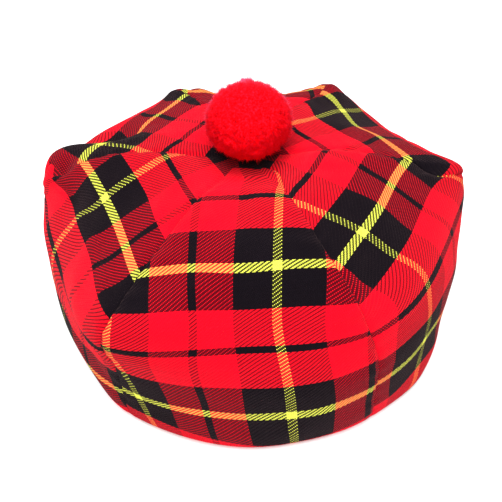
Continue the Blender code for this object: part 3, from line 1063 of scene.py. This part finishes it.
@dataclass
class Pompom:
    """A ball of clipped wool pile, in locks, pressed flat where it is sewn to the crown."""

    pile: PompomPile
    radius: float = 0.0262
    centre: tuple[float, float, float] = (0.0030, 0.0025, 0.1237)
    seat: float = 0.1015  # height of the crown under it
    locks: int = 300
    lock_depth: float = 0.0009
    lock_spread: float = 0.00035  # how much the locks differ in length
    lock_scatter: float = 0.04  # radians
    flattened: float = 0.83  # its height over its width
    light_lift: float = 0.7  # how far upwards the pile is shaded, as light works its way down into it
    tuft: tuple[float, float, float] = (-0.02, 0.66, 0.75)  # the way that a few long locks stand up
    tuft_height: float = 0.0026
    tuft_edge: tuple[float, float] = (0.11, 0.19)  # radians from its middle, where it starts and ends to fall
    strands: int = 44000
    strand_root: float = 0.0240  # distance of the strands' roots from the centre
    strand_width: float = 0.00020
    root_scatter: float = 0.012  # radians
    tip_scatter: float = 0.030  # radians
    length_spread: float = 0.00050
    stray_length: float = 0.0024
    stray_power: float = 14.0
    lean: float = 0.35  # of the way to the lock's middle
    core_radius: float = 0.0253
    core_rings: int = 60
    core_sides: int = 96
    core_shade_and_tint: float = 0.5  # of the way up a strand, where the core's painted shade and its tint are read
    seed: int = 7

    def spiral(self, count: int) -> np.ndarray:
        """Directions spread evenly over a ball: heights in equal steps, each a golden angle on from the last.

        Args:
            count: how many.

        Returns:
            Unit vectors, of shape (count, 3).
        """
        index = np.arange(count)
        height = 1 - 2 * (index + 0.5) / count
        ring = np.sqrt(1 - height**2)
        turn = math.pi * (3 - math.sqrt(5)) * index
        return np.stack([ring * np.cos(turn), ring * np.sin(turn), height], axis=-1)

    def reach(self, directions: np.ndarray, locks: Locks) -> tuple[np.ndarray, np.ndarray]:
        """How far the pile reaches each way, and the lock that each direction belongs to.

        The reach is the ball's radius and the lock's own length, less lock_depth times the angle to the
        lock's middle, as a share of half the angle between locks, to the power 1.5. The tuft's height is
        added round its direction.

        Args:
            directions: unit vectors from the ball's centre, of shape (directions, 3).
            locks: the pompom's locks.

        Returns:
            The reach in metres and the lock's number, each of shape (directions,).
        """
        nearness = directions @ locks.directions.T
        nearest = nearness.argmax(axis=1)
        angle = np.arccos(np.clip(nearness.max(axis=1), -1, 1))
        share = np.clip(angle / (math.sqrt(4 * math.pi / self.locks) / 2), 0, 1)
        from_tuft = np.arccos(np.clip(directions @ unit(np.array(self.tuft)), -1, 1))
        tuft = self.tuft_height * (1 - smooth_step(from_tuft, *self.tuft_edge))
        return self.radius + locks.lengths[nearest] - self.lock_depth * share**1.5 + tuft, nearest

    def core(self, locks: Locks) -> tuple[np.ndarray, np.ndarray]:
        """The ball that the strands grow from: rings of points from pole to pole, with a point at each.

        Args:
            locks: the pompom's locks.

        Returns:
            Points of shape (points, 3), and triangles of point numbers.
        """
        polar = np.linspace(0, math.pi, self.core_rings + 2)[1:-1, None]
        turn = np.linspace(0, 2 * math.pi, self.core_sides, endpoint=False)
        rings = [np.sin(polar) * np.cos(turn), np.sin(polar) * np.sin(turn), np.cos(polar) + 0 * turn]
        poles = [[0.0, 0.0, 1.0], [0.0, 0.0, -1.0]]
        directions = np.concatenate([np.stack(rings, axis=-1).reshape(-1, 3), poles])
        reach = self.reach(directions, locks)[0] - (self.radius - self.core_radius)

        count = self.core_rings * self.core_sides
        grid = np.pad(np.arange(count).reshape(self.core_rings, -1), ((0, 0), (0, 1)), mode="wrap")
        sides = quads(grid)
        top = np.stack([np.full(self.core_sides, count), grid[0, :-1], grid[0, 1:]], axis=-1)
        foot = np.stack([np.full(self.core_sides, count + 1), grid[-1, 1:], grid[-1, :-1]], axis=-1)
        triangles = [sides[:, [0, 1, 2]], sides[:, [0, 2, 3]], top, foot]
        return directions * reach[:, None], np.concatenate(triangles)

    def strand_points(self, locks: Locks, rng: np.random.Generator) -> tuple[np.ndarray, np.ndarray]:
        """The strands of the pile, each a thin three-sided spike.

        A strand grows outwards from the core to the pile's reach, with its tip drawn a little towards its
        lock's middle and a little aside at random. Its length varies by a bell, and a few stray ones, by a
        high power of an even random number, stand well out of the pile.

        Args:
            locks: the pompom's locks.
            rng: the source of the random numbers.

        Returns:
            Three root points and a tip for each strand, of shape (strands, 4, 3), and each strand's lock.
        """
        jitter = rng.normal(size=(self.strands, 3)) * self.root_scatter
        directions = unit(self.spiral(self.strands) + jitter)
        reach, nearest = self.reach(directions, locks)
        length = reach + rng.normal(size=self.strands) * self.length_spread
        length += rng.random(self.strands) ** self.stray_power * self.stray_length
        leaning = directions + self.lean * (locks.directions[nearest] - directions)
        leaning = unit(leaning + rng.normal(size=(self.strands, 3)) * self.tip_scatter)
        tips = leaning * length[:, None]
        roots = directions * self.strand_root
        side = unit(np.cross(directions, rng.normal(size=(self.strands, 3))))
        other = np.cross(directions, side)
        turn = 2 * math.pi * np.arange(3)[:, None] / 3
        ring = side[:, None] * np.cos(turn) + other[:, None] * np.sin(turn)
        return np.concatenate([roots[:, None] + ring * self.strand_width, tips[:, None]], axis=1), nearest

    def build(self) -> bpy.types.Object:
        """Adds the core and its strands as one piece.

        The ball is flattened, moved to its place and pressed flat on the crown. A point is shaded along its
        direction from the centre, lifted by light_lift. A strand's tint is the mean of its own and its
        lock's.

        Returns:
            The piece.
        """
        rng = np.random.default_rng(self.seed)
        lock_jitter = rng.normal(size=(self.locks, 3)) * self.lock_scatter
        lengths = rng.normal(size=self.locks) * self.lock_spread
        locks = Locks(unit(self.spiral(self.locks) + lock_jitter), lengths)
        core, core_faces = self.core(locks)
        strands, lock = self.strand_points(locks, rng)
        start = len(core) + 4 * np.arange(self.strands)[:, None, None]
        corners = np.array([[0, 1, 3], [1, 2, 3], [2, 0, 3], [0, 2, 1]])
        faces = np.concatenate([core_faces, (start + corners).reshape(-1, 3)])
        points = np.concatenate([core, strands.reshape(-1, 3)]) * [1.0, 1.0, self.flattened]
        points += np.array(self.centre)
        points[:, 2] = np.maximum(points[:, 2], self.seat)
        mesh = mesh_of("pompom_pile", points, faces)
        facing = unit(unit(points - np.array(self.centre)) + [0.0, 0.0, self.light_lift])
        mesh.normals_split_custom_set_from_vertices(facing.astype(np.float32))
        lock_tint = rng.random(self.locks)[lock]
        tints = np.repeat(0.5 * (lock_tint + rng.random(self.strands)), 4)
        tips = np.tile([0.0, 0.0, 0.0, 1.0], self.strands)
        for name, values in (("tip", tips), ("tint", tints)):
            set_attribute(mesh, name, np.concatenate([np.full(len(core), self.core_shade_and_tint), values]))
        return add_piece(mesh, self.pile.material(), "pompom")


# ---- The studio ----


@dataclass(frozen=True)
class SoftBox:
    """A square lamp that faces the hat."""

    name: str
    place: tuple[float, float, float]
    size: float
    watts: float


@dataclass
class Studio:
    """A pale table, soft lights and a camera that looks down at the hat's front."""

    form: HatForm
    camera_place: tuple[float, float, float] = (0.00585, -0.2560, 0.2808)  # from the rim's centre
    pitch: float = 46.005  # degrees down
    yaw: float = -1.138  # degrees to the right of +Y
    roll: float = -2.214
    lens: float = 35.46  # millimetres
    sensor: float = 36.0  # its width, in millimetres
    soft_boxes: tuple[SoftBox, ...] = (
        SoftBox("top_soft_box", (0.0, -0.05, 1.30), 1.1, 22.5),
        SoftBox("front_soft_box", (-0.06, -0.92, 1.00), 0.8, 7.5),
    )
    aim: tuple[float, float, float] = (0.0, 0.0, 0.05)
    world_light: float = 0.14
    paper: TablePaper = TablePaper()
    table_reach: float = 6.0
    table_drop: float = 0.0002  # under the hat

    def add_camera(self) -> None:
        """Looks along the pitch and yaw, turned about that line by the roll."""
        pitch, yaw, roll = (math.radians(angle) for angle in (self.pitch, self.yaw, self.roll))
        level = Vector((math.cos(yaw), -math.sin(yaw), 0.0))
        ahead = Vector((math.sin(yaw), math.cos(yaw), 0.0))
        forward = math.cos(pitch) * ahead - math.sin(pitch) * Vector((0.0, 0.0, 1.0))
        upright = level.cross(forward)
        right = math.cos(roll) * level + math.sin(roll) * upright
        up = math.cos(roll) * upright - math.sin(roll) * level
        data = bpy.data.cameras.new("camera")
        data.lens = self.lens
        data.sensor_width = self.sensor
        camera = add_object("camera", data)
        place = Vector(self.camera_place) - Vector((*self.form.base_centre, 0.0))
        turned = Matrix((right, up, -forward)).transposed().to_4x4()
        camera.matrix_world = Matrix.Translation(place) @ turned
        bpy.context.scene.camera = camera

    def add_light(self, box: SoftBox) -> None:
        """Puts a soft box in its place and turns it to the aim.

        Args:
            box: the soft box.
        """
        data = bpy.data.lights.new(box.name, "AREA")
        data.shape = "SQUARE"
        data.size = box.size
        data.energy = box.watts
        light = add_object(box.name, data)
        light.location = box.place
        towards = Vector(self.aim) - Vector(box.place)
        light.rotation_euler = towards.to_track_quat("-Z", "Y").to_euler()

    def add_table(self) -> None:
        """A wide pale sheet under the hat."""
        corners = np.array([[-1, -1], [1, -1], [1, 1], [-1, 1]]) * self.table_reach
        points = np.insert(corners, 2, -self.table_drop, axis=1)
        mesh = mesh_of("table", points, np.array([[0, 1, 2, 3]]))
        mesh.materials.append(self.paper.material())
        add_object("table", mesh)

    def build(self) -> None:
        """Adds the camera, the lights, the table and an even light from all round."""
        self.add_camera()
        for box in self.soft_boxes:
            self.add_light(box)
        self.add_table()
        world = bpy.data.worlds.new("soft_white")
        world.use_nodes = True
        background = world.node_tree.nodes["Background"]
        background.inputs["Color"].default_value = (1.0, 1.0, 1.0, 1.0)
        background.inputs["Strength"].default_value = self.world_light
        scene = bpy.context.scene
        scene.world = world
        scene.view_settings.view_transform = "Standard"
        scene.view_settings.look = "Medium High Contrast"


@dataclass
class TamOShanter:
    """The whole hat: six gores, the headband and the pompom."""

    form: HatForm = field(default_factory=HatForm)

    def build(self) -> list[bpy.types.Object]:
        """Adds every piece.

        Returns:
            The pieces, in order.
        """
        band = Headband(self.form, CheckedWool("headband_wool")).build()
        pompom = Pompom(PompomPile("pompom_pile")).build()
        cloths = [Gore(cut, self.form, CheckedWool(f"{cut.node}_wool")).build() for cut in CUTS]
        return [band, pompom, *cloths]


def main() -> None:
    """Builds the studio and the hat, and reports each piece with its number of faces."""
    logging.basicConfig(level=logging.INFO, format="%(message)s")
    hat = TamOShanter()
    Studio(hat.form).build()
    for piece in hat.build():
        LOG.info("%s: %d faces", piece.name, len(piece.data.polygons))


if __name__ == "__main__":
    main()
